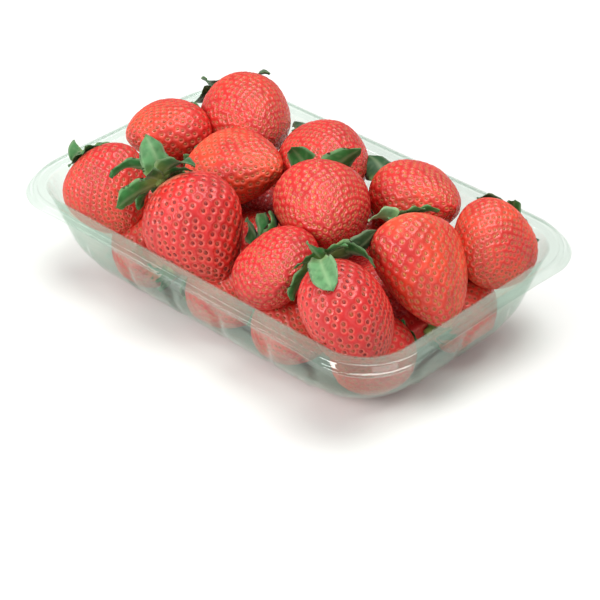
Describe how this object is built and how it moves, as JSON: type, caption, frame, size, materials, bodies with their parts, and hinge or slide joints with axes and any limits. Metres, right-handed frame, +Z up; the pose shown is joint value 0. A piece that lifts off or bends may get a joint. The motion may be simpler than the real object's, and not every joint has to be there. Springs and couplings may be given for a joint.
{
  "type": "punnet of strawberries",
  "caption": "Shallow rounded-rectangle clear plastic tray with a turned-down rim, heaped with whole strawberries that still have their green leaves.",
  "frame": {"origin": "middle of the tray's base, on the surface it stands on", "axes": "+X along the tray's long side, +Y across it, +Z up out of the tray"},
  "size_m": [0.19, 0.12, 0.0664],
  "materials": {
    "clear_plastic": "thermoformed clear PET sheet, pale green-grey, glossy",
    "strawberry_skin": "ripe strawberry skin, bright red, softly glossy, pitted with seeds",
    "strawberry_leaf": "fresh calyx leaves, mid green, satin, with fine hairs",
    "strawberry_seed": "small dry seeds, golden to red-brown"
  },
  "bodies": {
    "root": {"tray": "clear_plastic", "strawberries": "strawberry_skin"}
  },
  "joints": []
}
